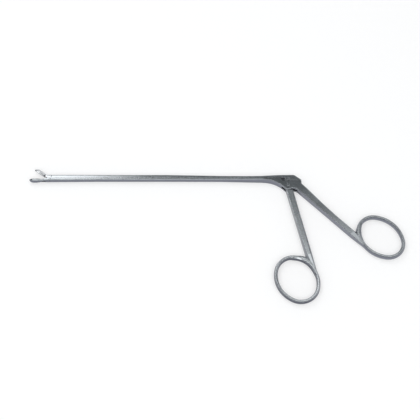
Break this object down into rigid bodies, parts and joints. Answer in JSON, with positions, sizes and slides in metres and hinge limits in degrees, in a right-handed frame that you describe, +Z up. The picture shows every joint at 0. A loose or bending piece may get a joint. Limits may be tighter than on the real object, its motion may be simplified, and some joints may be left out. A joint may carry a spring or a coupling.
{
  "type": "pituitary rongeur",
  "caption": "Ring-handled micro rongeur: a long slim shaft with a sliding upper half, a cup jaw that opens at the tip, a slotted hub and two leaning ring handles.",
  "frame": {"origin": "on the lever's pivot axis, where it meets the hub's side face that the instrument rests on", "axes": "+X along the shaft from the jaws to the handles, +Y across the shaft towards the slide, +Z up through the instrument's thickness"},
  "size_m": [0.2395, 0.0945, 0.0052],
  "materials": {
    "satin_steel": "satin, bead-blasted and brushed",
    "jaw_steel": "fine satin, polished inside the cup",
    "pin_steel": "ground flush and satin"
  },
  "bodies": {
    "frame": {"shaft_with_thumb_ring": "satin_steel", "jaw_pivot_pin": "pin_steel", "lever_pivot_pin": "pin_steel"},
    "slide": {"upper_slide": "satin_steel", "jaw_link_pin": "pin_steel", "slide_drive_pin": "pin_steel"},
    "jaw": {"upper_jaw": "jaw_steel"},
    "lever": {"finger_ring_lever": "satin_steel"}
  },
  "joints": [
    {"name": "lever_pivot", "type": "hinge", "parent": "frame", "child": "lever", "pos_m": [0, 0, 0.0026], "axis": [0, 0, 1], "range_deg": [0, 14.77]},
    {"name": "slide_travel", "type": "slide", "parent": "frame", "child": "slide", "axis": [-1, 0, 0], "range_m": [0, 0.00119]},
    {"name": "jaw_pivot", "type": "hinge", "parent": "frame", "child": "jaw", "pos_m": [-0.1528, 0.00462, 0.0026], "axis": [0, 0, 1], "range_deg": [0, 34]}
  ],
  "couplings": [
    {"joint": "slide_travel", "follows": "lever_pivot", "m_per_rad": 0.0046256},
    {"joint": "jaw_pivot", "follows": "lever_pivot", "ratio": 2.3021}
  ]
}
